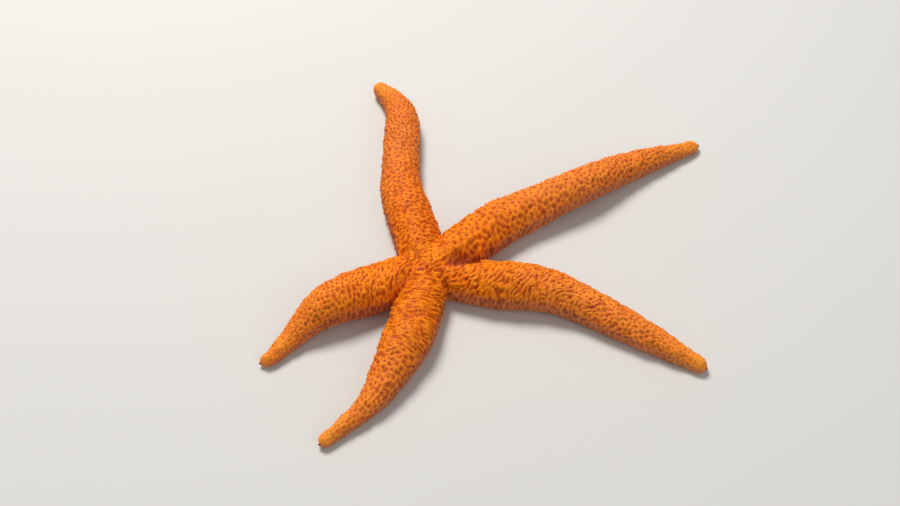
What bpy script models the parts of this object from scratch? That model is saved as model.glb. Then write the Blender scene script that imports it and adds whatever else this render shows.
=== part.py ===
"""A red sea star, Echinaster sepositus, at life size, lying on a flat floor with its five arms spread.

The body is a small disc from which five arms run out, each in three lengths: root, middle and tip.
A mouth ring sits in a hollow under the disc, a madreporite on its top, and an eyespot at each arm's end.
Everything is modelled around the disc's centre at floor level, and hangs from one empty, which
brings the middle of the outline over the origin.
"""

import math

import bmesh
import bpy
import numpy as np
from mathutils import Vector

MM = 0.001

# Across the body, common to the five arms.
ROOT_WIDTH = 17.4 * MM  # of an arm where it leaves the disc
FULL_WIDTH_TO = 24.0 * MM  # an arm keeps that width this far from the disc's centre
DISC_REACH = 18.5 * MM  # from the disc's centre to the cut at each arm's root
DISC_HEIGHT = 12.6 * MM  # at the centre, a little lower than the roots of the arms
ROOT_HEIGHT = 13.4 * MM
TIP_ROUNDNESS = 0.94  # height over width at the tip of an arm
WIDEST_AT = 0.40  # height of the widest place, as a share of the section's height
CUT = 0.3 * MM  # gap between two lengths of an arm, and round every inset piece

# The underside, as shares of the arm's width: the furrow along the arm and the flat beside it.
FURROW_HALF_WIDTH = 0.10
FURROW_DEPTH = 0.15
FLAT_SHARE = 1.15  # how far the rounded underside is pushed below the floor, and so planed flat
UNDERSIDE_POWER = 3.0

# Where each arm is parted, as shares of its length beyond the disc.
FIRST_CUT = 0.34
SECOND_CUT = 0.68

MOUTH_HOLLOW_RADIUS = 4.6 * MM
MOUTH_HOLLOW_DEPTH = 3.6 * MM
MOUTH_RING_RADIUS = 2.2 * MM
MOUTH_RING_THICKNESS = 1.5 * MM
MADREPORITE_RADIUS = 1.3 * MM
MADREPORITE_FROM_CENTRE = 5.4 * MM
MADREPORITE_TURN = 15  # degrees from the front arm's heading to the left arm's side
EYESPOT_RADIUS = 0.55 * MM
EYESPOT_AT = 0.42  # height of an eyespot as a share of the tip's height

# Each arm: heading of its root in degrees, length from the disc's centre, widths a third and two
# thirds of the way along its taper and at its end, bends (from, to, degrees turned to the left)
# and lifts off the floor (from, to, height).
ARMS = {
    "arm_back": {
        "heading": 106,
        "length": 99.5 * MM,
        "widths": (14.6 * MM, 13.4 * MM, 5.1 * MM),
        "bends": [(29 * MM, 51 * MM, -16.8), (67 * MM, 93.5 * MM, 37.8)],
        "lifts": [(78 * MM, 116 * MM, 1.4 * MM)],
    },
    "arm_back_right": {
        "heading": 42,
        "length": 119.3 * MM,
        "widths": (14.4 * MM, 11.3 * MM, 4.6 * MM),
        "bends": [(26 * MM, 40 * MM, -14.5), (58 * MM, 71 * MM, 6.8), (77 * MM, 99 * MM, -8.9)],
        "lifts": [(36.5 * MM, 92.5 * MM, 2.6 * MM)],
    },
    "arm_front_right": {
        "heading": -14.5,
        "length": 97.0 * MM,
        "widths": (13.8 * MM, 10.6 * MM, 5.0 * MM),
        "bends": [(18.5 * MM, 28 * MM, 8), (26 * MM, 60 * MM, -26)],
        "lifts": [(25 * MM, 57 * MM, 0.8 * MM)],
    },
    "arm_front": {
        "heading": -102,
        "length": 74.0 * MM,
        "widths": (13.6 * MM, 7.6 * MM, 4.6 * MM),
        "bends": [(20 * MM, 32 * MM, -12), (41 * MM, 64 * MM, -24)],
        "lifts": [],
    },
    "arm_left": {
        "heading": -157.5,
        "length": 64.8 * MM,
        "widths": (13.9 * MM, 8.1 * MM, 4.3 * MM),
        "bends": [(18.5 * MM, 26 * MM, 6.3), (26 * MM, 57 * MM, 23), (56 * MM, 65 * MM, -24)],
        "lifts": [(22 * MM, 54 * MM, 2.0 * MM)],
    },
}

# How finely the faceted solids follow the shape.
TOP_STEPS = 14
STATION_STEP = 5.0 * MM
DISC_STATIONS = 6
PATH_STEP = 0.25 * MM
SIDE_SHARES = np.array([0.3, 0.62, 0.88, 1.0])  # bottom points from the furrow's lip to the side
FURROW_SHARES = np.array([0.0, 0.55, 1.0])
TIP_ROUND_ANGLES = [0, 32, 58, 77]

ORANGE = (0.86, 0.20, 0.02)
DEEP_ORANGE = (0.62, 0.10, 0.015)
PALE_ORANGE = (0.90, 0.36, 0.10)
RED = (0.45, 0.01, 0.01)


def smoothstep(value):
    t = np.clip(value, 0.0, 1.0)
    return t * t * (3.0 - 2.0 * t)


def smooth_through(stations, values, x):
    """A smooth curve through a few values: cubic pieces whose slope is flat at the first station."""
    stations, values = np.asarray(stations, float), np.asarray(values, float)
    slopes = np.gradient(values, stations)
    slopes[0] = 0.0
    i = np.clip(np.searchsorted(stations, x) - 1, 0, len(stations) - 2)
    span = stations[i + 1] - stations[i]
    t = np.clip((x - stations[i]) / span, 0.0, 1.0)
    start, end = values[i], values[i + 1]
    return (
        (2 * t**3 - 3 * t**2 + 1) * start
        + (t**3 - 2 * t**2 + t) * span * slopes[i]
        + (3 * t**2 - 2 * t**3) * end
        + (t**3 - t**2) * span * slopes[i + 1]
    )


class Arm:
    """One arm: its axis on the floor, and its width, height and lift at any distance along it."""

    def __init__(self, name, heading, length, widths, bends, lifts):
        self.name = name
        self.heading = math.radians(heading)
        self.length = length
        self.bends = bends
        self.lifts = lifts
        self.tip_width = widths[-1]
        self.width_stations = np.linspace(FULL_WIDTH_TO, length, 4)
        self.widths = (ROOT_WIDTH, *widths)
        self.along = np.arange(0.0, length + PATH_STEP, PATH_STEP)
        turned = self.heading_at(self.along)
        steps = np.stack([np.cos(turned), np.sin(turned)], axis=1) * PATH_STEP
        self.axis = np.concatenate([[[0.0, 0.0]], np.cumsum(steps, axis=0)[:-1]])

    def heading_at(self, distance):
        turned = np.full(np.shape(distance), self.heading)
        for start, end, degrees in self.bends:
            turned = turned + math.radians(degrees) * smoothstep((distance - start) / (end - start))
        return turned

    def point_at(self, distance):
        return np.array([np.interp(distance, self.along, self.axis[:, i]) for i in (0, 1)])

    def width_at(self, distance):
        return smooth_through(self.width_stations, self.widths, max(distance, FULL_WIDTH_TO))

    def height_at(self, distance):
        """The disc rises a little to the roots, and then the arm's section grows rounder to its tip."""
        if distance < FULL_WIDTH_TO:
            share = smoothstep(distance / FULL_WIDTH_TO)
            return DISC_HEIGHT + (ROOT_HEIGHT - DISC_HEIGHT) * float(share)
        share = (distance - FULL_WIDTH_TO) / (self.length - FULL_WIDTH_TO)
        root_roundness = ROOT_HEIGHT / ROOT_WIDTH
        return self.width_at(distance) * (root_roundness + (TIP_ROUNDNESS - root_roundness) * share)

    def lift_at(self, distance):
        return sum(
            height * math.sin(math.pi * np.clip((distance - start) / (end - start), 0.0, 1.0)) ** 2
            for start, end, height in self.lifts
        )

    def place(self, distance, across, up):
        """World points of a section at that distance: across is to the left of the heading."""
        x, y = self.point_at(distance)
        turned = float(self.heading_at(distance))
        left = np.array([-math.sin(turned), math.cos(turned)])
        return np.stack([x + across * left[0], y + across * left[1], up + self.lift_at(distance)], 1)


def top_height(across, half, height):
    """The upper side: half an ellipse above the widest place."""
    widest = WIDEST_AT * height
    return widest + (height - widest) * np.sqrt(np.clip(1.0 - (across / half) ** 2, 0.0, 1.0))


def bottom_height(across, half, height):
    """The underside: a full curve planed flat at the floor, with the furrow along its middle."""
    widest = WIDEST_AT * height
    share = np.clip(np.abs(across) / half, 0.0, 1.0)
    rounded = widest * (1.0 - FLAT_SHARE * (1.0 - share**UNDERSIDE_POWER) ** (1 / UNDERSIDE_POWER))
    furrow_share = np.clip(np.abs(across) / (2 * half * FURROW_HALF_WIDTH), 0.0, 1.0)
    furrow = 2 * half * FURROW_DEPTH * np.sqrt(1.0 - furrow_share**2)
    return np.maximum(np.maximum(rounded, 0.0), furrow)


def section(arm, distance, reach_left=math.inf, reach_right=math.inf):
    """Top points from right to left, and bottom points from left to right, of the arm's section.

    Near the disc's centre a section ends at the planes midway to the neighbouring arms, which are
    reach_left and reach_right from the arm's axis there.
    """
    half, height = arm.width_at(distance) / 2, arm.height_at(distance)
    left, right = min(half, reach_left), min(half, reach_right)
    angles = np.linspace(-math.asin(right / half), math.asin(left / half), TOP_STEPS + 1)
    across_top = half * np.sin(angles)
    lips = [min(2 * half * FURROW_HALF_WIDTH, 0.6 * side) for side in (left, right)]
    to_left, to_right = (
        np.concatenate([lip * FURROW_SHARES, lip + (side - lip) * SIDE_SHARES])
        for lip, side in zip(lips, (left, right), strict=True)
    )
    across_bottom = np.concatenate([to_left[::-1], -to_right[1:]])
    up_top = top_height(across_top, half, height)
    up_bottom = bottom_height(across_bottom, half, height)
    return (across_top, up_top), (across_bottom, up_bottom)


def ring(arm, distance, scale=1.0):
    """The closed outline of a free section, shrunk by scale towards its middle, as world points."""
    (across_top, up_top), (across_bottom, up_bottom) = section(arm, distance)
    across = np.concatenate([across_top, across_bottom[1:-1]]) * scale
    middle = WIDEST_AT * arm.height_at(distance)
    up = middle + (np.concatenate([up_top, up_bottom[1:-1]]) - middle) * scale
    return arm.place(distance, across, up)


def finish_mesh(name, mesh, colour, roughness):
    """Recalculates the normals, links the mesh to a new object under the body, and colours it."""
    bmesh.ops.remove_doubles(mesh, verts=mesh.verts, dist=1e-6)
    bmesh.ops.recalc_face_normals(mesh, faces=mesh.faces)
    data = bpy.data.meshes.new(name)
    mesh.to_mesh(data)
    mesh.free()
    return add_object(name, data, colour, roughness)


def add_object(name, data, colour, roughness):
    made = bpy.data.objects.new(name, data)
    body_parts.objects.link(made)
    made.parent = body
    data.materials.append(material(name, colour, roughness))
    data.shade_smooth()
    data.set_sharp_from_angle(angle=math.radians(40))
    return made


def material(name, colour, roughness):
    made = bpy.data.materials.new(name + "_skin")
    made.use_nodes = True
    shader = made.node_tree.nodes["Principled BSDF"]
    shader.inputs["Base Color"].default_value = (*colour, 1.0)
    shader.inputs["Roughness"].default_value = roughness
    shader.inputs["Metallic"].default_value = 0.0
    return made


def add_points(mesh, points):
    return [mesh.verts.new(point) for point in points]


def skin_between(mesh, first, second, closed):
    """Quads between two rows of vertices of the same length."""
    count = len(first)
    for i in range(count if closed else count - 1):
        j = (i + 1) % count
        mesh.faces.new((first[i], first[j], second[j], second[i]))


def arm_length(arm, name, start, end, colour):
    """A length of an arm: sections from start to end, closed by flat faces, rounded at the arm's end."""
    end_radius = 0.6 * arm.tip_width
    last = end >= arm.length
    straight_end = arm.length - end_radius if last else end
    steps = max(2, round((straight_end - start) / STATION_STEP))
    stations = [(s, 1.0) for s in np.linspace(start, straight_end, steps + 1)]
    if last:
        for degrees in TIP_ROUND_ANGLES[1:]:
            turn = math.radians(degrees)
            stations.append((straight_end + end_radius * math.sin(turn), math.cos(turn)))
    mesh = bmesh.new()
    rings = [add_points(mesh, ring(arm, distance, scale)) for distance, scale in stations]
    for first, second in zip(rings, rings[1:]):
        skin_between(mesh, first, second, closed=True)
    mesh.faces.new(rings[0])
    mesh.faces.new(rings[-1])
    return finish_mesh(name, mesh, colour, 0.6)


def half_gaps(arms):
    """Half the angle from each arm to the next on its left."""
    gaps = []
    for arm, following in zip(arms, arms[1:] + arms[:1]):
        turn = (following.heading - arm.heading) % (2 * math.pi)
        gaps.append(turn / 2)
    return gaps


def disc(arms):
    """The disc: five sectors of clipped sections, which meet midway between the arms in a crease.

    Each crease ends at a notch, where the section is as wide as the sector. Every notch is one of
    the stations, so that neighbouring sectors share all their points up to it.
    """
    gaps = half_gaps(arms)
    notches = [ROOT_WIDTH / 2 / math.tan(gap) for gap in gaps]
    stations = sorted({*np.linspace(0.0, DISC_REACH, DISC_STATIONS), *notches})
    mesh = bmesh.new()
    for i, arm in enumerate(arms):
        rows = []
        for distance in stations:
            left, right = distance * math.tan(gaps[i]), distance * math.tan(gaps[i - 1])
            parts = section(arm, distance, left, right)
            rows.append([add_points(mesh, arm.place(distance, *part)) for part in parts])
        for inner, outer in zip(rows, rows[1:]):
            for first, second in zip(inner, outer, strict=True):
                skin_between(mesh, first, second, closed=False)
        top, bottom = rows[-1]
        mesh.faces.new(top[:-1] + bottom[:-1])
    return finish_mesh("disc", mesh, ORANGE, 0.6)


def button(name, centre, radius, height, colour, roughness, steps=14):
    """A flattened ball."""
    mesh = bmesh.new()
    bmesh.ops.create_uvsphere(mesh, u_segments=steps, v_segments=steps // 2, radius=1.0)
    bmesh.ops.scale(mesh, vec=(radius, radius, height), verts=mesh.verts)
    made = finish_mesh(name, mesh, colour, roughness)
    made.location = centre
    return made


def hollow(target, name, centre, radius, height, steps=14):
    """Cuts a flattened ball's shape out of the target."""
    cutter = button(name, centre, radius, height, RED, 0.5, steps)
    body_parts.objects.unlink(cutter)
    cutters.objects.link(cutter)
    cutter.hide_render = True
    cutter.display_type = "WIRE"
    cut = target.modifiers.new(name, "BOOLEAN")
    cut.operation = "DIFFERENCE"
    cut.solver = "EXACT"
    cut.object = cutter


def mouth(target):
    """The lips round the mouth: a fat ring turned from a circle, in a hollow under the disc."""
    hollow(target, "mouth_hollow", Vector(), MOUTH_HOLLOW_RADIUS, MOUTH_HOLLOW_DEPTH, steps=20)
    mesh = bmesh.new()
    angles = np.linspace(0.0, 2 * math.pi, 9)[:-1]
    middle = MOUTH_RING_THICKNESS / 2
    loop = [
        mesh.verts.new((MOUTH_RING_RADIUS + middle * math.cos(t), 0.0, CUT + middle * (1 - math.sin(t))))
        for t in angles
    ]
    for first, second in zip(loop, loop[1:] + loop[:1]):
        mesh.edges.new((first, second))
    data = bpy.data.meshes.new("mouth")
    mesh.to_mesh(data)
    mesh.free()
    made = add_object("mouth", data, PALE_ORANGE, 0.5)
    turn = made.modifiers.new("turn", "SCREW")
    turn.steps = turn.render_steps = 24
    turn.use_merge_vertices = True
    turn.merge_threshold = 0.01 * MM
    turn.use_normal_calculate = True


def madreporite(arms, target):
    """The sieve plate, on the disc by the crease between the front arm and the left one."""
    front = next(a for a in arms if a.name == "arm_front")
    turn = math.radians(MADREPORITE_TURN)
    heading = front.heading - turn
    along, across = (MADREPORITE_FROM_CENTRE * f(turn) for f in (math.cos, math.sin))
    top = float(top_height(across, ROOT_WIDTH / 2, front.height_at(along)))
    centre = Vector((math.cos(heading), math.sin(heading), 0.0)) * MADREPORITE_FROM_CENTRE
    centre.z = top - 0.2 * MM
    button("madreporite", centre, MADREPORITE_RADIUS, 0.9 * MM, PALE_ORANGE, 0.55)
    hollow(target, "madreporite_pocket", centre, MADREPORITE_RADIUS + CUT, 0.9 * MM + CUT)


def eyespot(arm, tip):
    """The red spot at the end of an arm, let into the tip."""
    x, y = arm.point_at(arm.length - 0.3 * EYESPOT_RADIUS)
    up = EYESPOT_AT * arm.height_at(arm.length) + arm.lift_at(arm.length)
    name = arm.name + "_eyespot"
    centre = Vector((x, y, up))
    button(name, centre, EYESPOT_RADIUS, EYESPOT_RADIUS, RED, 0.3, steps=10)
    hollow(tip, name + "_pocket", centre, EYESPOT_RADIUS + CUT, EYESPOT_RADIUS + CUT, steps=10)


def arm_parts(arm):
    """The arm's three lengths, with a thin cut before each, and its eyespot."""
    reach = arm.length - DISC_REACH
    ends = [DISC_REACH, DISC_REACH + FIRST_CUT * reach, DISC_REACH + SECOND_CUT * reach, arm.length]
    for part, start, end in zip(("root", "middle", "tip"), ends, ends[1:]):
        made = arm_length(arm, f"{arm.name}_{part}", start + CUT, end, ORANGE)
    eyespot(arm, made)


def centre_outline():
    """Moves the body so that the middle of its outline stands over the origin."""
    bpy.context.view_layer.update()
    corners = [
        part.matrix_world @ vertex.co for part in body_parts.objects for vertex in part.data.vertices
    ]
    low = Vector(min(corner[i] for corner in corners) for i in (0, 1))
    high = Vector(max(corner[i] for corner in corners) for i in (0, 1))
    body.location = (*(-(low + high) / 2), 0.0)


def new_collection(name):
    made = bpy.data.collections.new(name)
    bpy.context.scene.collection.children.link(made)
    return made


for left_over in list(bpy.data.objects):
    bpy.data.objects.remove(left_over)
body_parts = new_collection("starfish")
cutters = new_collection("cutters")
body = bpy.data.objects.new("starfish_body", None)
bpy.context.scene.collection.objects.link(body)

all_arms = sorted((Arm(name, **sizes) for name, sizes in ARMS.items()), key=lambda arm: arm.heading)
disc_part = disc(all_arms)
madreporite(all_arms, disc_part)
mouth(disc_part)
for each_arm in all_arms:
    arm_parts(each_arm)
centre_outline()
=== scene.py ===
"""The looks of a life-size red sea star, Echinaster sepositus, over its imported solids.

One skin covers the disc and the five arms: a mesh of raised ridges round dark pits. Over it come
the coat, which is spinelets on the ridges and gill tufts in the pits, and the underside's tube feet,
furrow spines and mouth. Lengths are in metres, and the sections repeat those of the solids.
"""

import math

import bpy
import numpy as np
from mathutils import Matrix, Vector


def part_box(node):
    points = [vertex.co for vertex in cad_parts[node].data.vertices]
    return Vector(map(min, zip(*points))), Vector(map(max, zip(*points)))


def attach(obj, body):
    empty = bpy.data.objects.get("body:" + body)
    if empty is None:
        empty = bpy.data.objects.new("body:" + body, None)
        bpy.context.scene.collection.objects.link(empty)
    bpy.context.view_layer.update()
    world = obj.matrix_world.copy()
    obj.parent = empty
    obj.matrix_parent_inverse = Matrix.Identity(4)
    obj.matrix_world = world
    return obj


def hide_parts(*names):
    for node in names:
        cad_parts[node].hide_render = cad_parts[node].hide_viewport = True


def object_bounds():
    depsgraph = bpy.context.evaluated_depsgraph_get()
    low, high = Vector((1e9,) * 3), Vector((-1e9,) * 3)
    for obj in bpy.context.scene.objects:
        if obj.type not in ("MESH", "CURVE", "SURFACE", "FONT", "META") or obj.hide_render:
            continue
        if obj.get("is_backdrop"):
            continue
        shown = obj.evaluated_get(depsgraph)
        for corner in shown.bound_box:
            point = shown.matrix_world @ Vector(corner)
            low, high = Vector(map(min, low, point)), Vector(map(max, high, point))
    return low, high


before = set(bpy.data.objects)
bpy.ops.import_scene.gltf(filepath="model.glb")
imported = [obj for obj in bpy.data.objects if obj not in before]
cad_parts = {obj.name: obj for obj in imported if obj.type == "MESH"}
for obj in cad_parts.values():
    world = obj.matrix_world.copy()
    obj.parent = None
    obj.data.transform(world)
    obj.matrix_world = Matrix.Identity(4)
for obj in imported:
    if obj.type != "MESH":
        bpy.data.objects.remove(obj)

MM = 0.001
CAD_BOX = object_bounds()

# Sections, as in the solids. The skin lies inside them by the depth of the coat.
COAT = 0.30 * MM
ROOT_WIDTH = 17.4 * MM
FULL_WIDTH_TO = 24.0 * MM
DISC_HEIGHT = 12.6 * MM
ROOT_HEIGHT = 13.4 * MM
TIP_ROUNDNESS = 0.94
END_RADIUS = 0.6
WIDEST_AT = 0.40
ROOT_HALF = ROOT_WIDTH / 2 - COAT
FURROW_HALF_WIDTH = 0.10
FURROW_DEPTH = 0.15
FLAT_SHARE = 1.15
FLAT_SOFTNESS = 0.14
UNDERSIDE_POWER = 3.0
HOLLOW_RADIUS = 4.6 * MM
HOLLOW_DEPTH = 3.6 * MM
HOLLOW_EDGE = 1.2 * MM
PLATE_RADIUS = 1.3 * MM
DISC_REACH = 18.5 * MM

# The disc's top: how softly the arms meet, where creases grow and fade, how deep one is where its
# painted shade is full, where an arm's shoulder is let down, and the hollow in the middle.
CREASE_SOFTNESS = 0.38 * MM
CREASES_GROW = (1.5 * MM, 11.0 * MM)
CREASES_FADE = (-1.0 * MM, 2.0 * MM)
SHADE_DEPTH = 3.4 * MM
SHOULDER_AT = 18.5 * MM
SHOULDER_REACH = 4.5 * MM
CENTRE_SINK = 0.9 * MM
CENTRE_SINK_RADIUS = 6.0 * MM

# The grid of the skin.
ROW_STEP = 0.40 * MM
ROW_STEP_GROWTH = 0.10 * MM
TOP_COLUMNS = 64
SIDE_COLUMNS = 9
FURROW_COLUMNS = 6
UNDER_COLUMNS = 2 * SIDE_COLUMNS + FURROW_COLUMNS + 1
TIP_ROWS = 11
WELD = 0.001 * MM

# Distances from the centre over which the pits' spacing and stretch go from the disc's to the
# arm's, and their narrow way from the disc's to outwards and then to along the arm. Distances from
# an arm's end over which it is tip and end.
DISC_SPACING_TO = (5 * MM, 14 * MM)
DISC_STRETCH_TO = (6 * MM, 13 * MM)
DISC_WAY_TO = (3 * MM, 9 * MM)
OUTWARD_TO = (12 * MM, 28 * MM)
SKEW_FROM = 8 * MM
TIP_OVER = (2 * MM, 24 * MM)
END_OVER = (1.5 * MM, 6 * MM)

# The pits, as shares of their spacing: how deep they are, and where the ridge's top ends and the
# floor begins. How far every ridge is let down between its knots, how much more some are, and how
# far from a knot. The pits differ in size and depth by the factors in SIZES and DEPTHS.
PIT_DEPTH = 0.22
RIDGE_TOP = 0.04
RIDGE_REACH = 0.95
RIDGE_GAPS = 0.46
EVERY_RIDGE_GAP = 0.16
KNOT_REACH = 0.35
SIZES = (0.72, 1.28)
DEPTHS = (0.65, 1.10)
PIT_JITTER = 0.28
DISC_PIT_SPACING = 1.85 * MM
DISC_NARROWNESS = 0.9
DISC_STRETCH = 3.2
DISC_WAY = math.radians(-43)
EVENING_ROUNDS = 5
SAMPLE_CELL = 0.55 * MM
SEARCH_REACH = 8 * MM

# What is known of a pit: its place on the smooth skin, the way it is narrow, and its sizes.
PIT = ("place", "way", "stretch", "spacing", "narrowness")

# Ridges wander by WAVE over WAVE_LENGTH. Pits are shallower round SMOOTH_PLACE, beside the middle.
# The fades are how much shallower they are there, underneath and at the arms' ends.
WAVE = 0.30 * MM
WAVE_LENGTH = 5.0 * MM
SMOOTH_PLACE = (2.2 * MM, 2.4 * MM)
SMOOTH_RADIUS = 3.2 * MM
SMOOTH_FADE, UNDER_FADE, END_FADE = 0.6, 0.92, 0.65

# Heights and lengths of the skin's broad lumps, small lumps and beads. Lumps are let down and kept
# between two heights, so that the coat stays inside the solids.
UNEVEN = ((0.16 * MM, 7 * MM), (0.10 * MM, 3.2 * MM), (0.06 * MM, 1.3 * MM))
LUMPS_DOWN = 0.1 * MM
LUMPS_BETWEEN = (-0.4 * MM, 0.12 * MM)

# The coat. A spinelet stands on the skin and fills the depth up to the solids' outline, within a
# share of the pits' spacing from a ridge. None stands under the disc so near to the mouth.
SPINELET_SPACING = 0.95 * MM
SPINELET_HEIGHT = 0.27 * MM
SPINELET_RADIUS = 0.24 * MM
SPINELETS_WITHIN = 0.17
BARE_WITHIN = 6.2 * MM
GILL_HEIGHT = 0.42 * MM
GILL_RADIUS = 0.14 * MM
PATCH = 0.003

# Under the arms. A foot and a furrow spine have their full size where the lip is FULL_LIP out.
TUBE_FOOT_SPACING = 1.5 * MM
TUBE_FOOT_RADIUS = 0.34 * MM
SUCKER_LEVEL = 0.32 * MM
FURROW_SPINE_SPACING = 1.05 * MM
FURROW_SPINE_LENGTH = 0.85 * MM
FURROW_SPINE_RADIUS = 0.24 * MM
FULL_LIP = 2.1 * MM
JAW_REACH = 4.5 * MM
JAW_SPINE_LENGTH = 2.0 * MM

PLATE_RISE = 0.7 * MM
EYESPOT_RADIUS = 0.42 * MM
EYESPOT_AT = 0.42

# Each arm, in millimetres and degrees. As in the solids: its heading, its length, its widths at a
# third, two thirds and all of the way from FULL_WIDTH_TO to the tip, its bends and its lifts. Its
# pits: their spacing at the root and the tip, their narrowness, how much longer than round they are
# and how far out, and their turn at the root and there. The crease on its left: its depth, its
# shift to the right, and its width on each side. Last, how far its left shoulder is let down.
ARMS = {
    "arm_back": dict(
        heading=106, length=99.5, widths=(14.6, 13.4, 5.1),
        bends=[(29, 51, -16.8), (67, 93.5, 37.8)], lifts=[(78, 116, 1.4)],
        spacings=(2.45, 1.65), narrowness=0.45, folds=(1.6, 64), skews=(5, 0),
        crease=(0.5, 0.0, 1.6, 1.6),
    ),
    "arm_back_right": dict(
        heading=42, length=119.3, widths=(14.4, 11.3, 4.6),
        bends=[(26, 40, -14.5), (58, 71, 6.8), (77, 99, -8.9)], lifts=[(36.5, 92.5, 2.6)],
        spacings=(2.75, 1.75), narrowness=0.75, folds=(1.35, 90), skews=(0, 0),
        crease=(0.6, 0.0, 1.6, 1.6),
    ),
    "arm_front_right": dict(
        heading=-14.5, length=97.0, widths=(13.8, 10.6, 5.0),
        bends=[(18.5, 28, 8), (26, 60, -26)], lifts=[(25, 57, 0.8)],
        spacings=(2.50, 1.55), narrowness=1.0, folds=(3.2, 84), skews=(-18, -70),
        crease=(4.2, 2.2, 2.6, 2.6), shoulder=0.30,
    ),
    "arm_front": dict(
        heading=-102, length=74.0, widths=(13.6, 7.6, 4.6),
        bends=[(20, 32, -12), (41, 64, -24)], lifts=[],
        spacings=(2.80, 1.50), narrowness=0.75, folds=(5.5, 50), skews=(0, 15),
        crease=(1.0, 0.0, 1.6, 1.6),
    ),
    "arm_left": dict(
        heading=-157.5, length=64.8, widths=(13.9, 8.1, 4.3),
        bends=[(18.5, 26, 6.3), (26, 57, 23), (56, 65, -24)], lifts=[(22, 54, 2.0)],
        spacings=(2.50, 1.30), narrowness=0.95, folds=(3.0, 40), skews=(-50, 0),
        crease=(1.4, 0.0, 1.6, 1.6),
    ),
}


# --- Shapes of numbers ---


def mm(sizes):
    """Sizes in millimetres as metres."""
    return [size * MM for size in sizes]


def mixed(first, second, share):
    """From first at share 0 to second at share 1, in a straight line."""
    return first + (second - first) * share


def smoothstep(value, low=0.0, high=1.0):
    """0 below low, 1 above high, and 3t^2 - 2t^3 between them."""
    t = np.clip((value - low) / (high - low), 0.0, 1.0)
    return t * t * (3.0 - 2.0 * t)


def bell(value, width):
    """exp(-(value / width)^2)."""
    return np.exp(-((value / width) ** 2))


def soft_min(first, second, softness):
    """The smaller of the two, less a quarter of softness where they are equal."""
    overlap = np.clip(1.0 - np.abs(first - second) / softness, 0.0, 1.0)
    return np.minimum(first, second) - softness / 4 * overlap**2


def smooth_through(stations, values, x):
    """Cubic pieces through a few values, whose slope is flat at the first station."""
    stations, values = np.asarray(stations, float), np.asarray(values, float)
    slopes = np.gradient(values, stations)
    slopes[0] = 0.0
    i = np.clip(np.searchsorted(stations, x) - 1, 0, len(stations) - 2)
    span = stations[i + 1] - stations[i]
    t = np.clip((x - stations[i]) / span, 0.0, 1.0)
    return (
        (2 * t**3 - 3 * t**2 + 1) * values[i]
        + (t**3 - 2 * t**2 + t) * span * slopes[i]
        + (3 * t**2 - 2 * t**3) * values[i + 1]
        + (t**3 - t**2) * span * slopes[i + 1]
    )


def unit(vectors):
    """Vectors over their own lengths."""
    return vectors / np.maximum(np.linalg.norm(vectors, axis=-1, keepdims=True), 1e-12)


def level_way(angle):
    """The unit vector level with the floor at an angle from +X."""
    return np.stack([np.cos(angle), np.sin(angle), np.zeros(np.shape(angle))], -1)


def on_axes(x, y, angle):
    """A level place on axes turned by an angle: x cos + y sin, and y cos - x sin."""
    return x * math.cos(angle) + y * math.sin(angle), y * math.cos(angle) - x * math.sin(angle)


def ripple(points, wavelength, seed, waves=9):
    """Smooth bumps between about -1 and 1: the mean of sine waves in several directions."""
    rng = np.random.default_rng(seed)
    directions = unit(rng.normal(size=(waves, 3)))
    lengths = wavelength * rng.uniform(0.7, 1.4, waves)
    phases = rng.uniform(0, 2 * math.pi, waves)
    turns = points @ (directions / lengths[:, None]).T * 2 * math.pi + phases
    return np.sin(turns).sum(-1) / math.sqrt(waves)


# --- Arms ---


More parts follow.
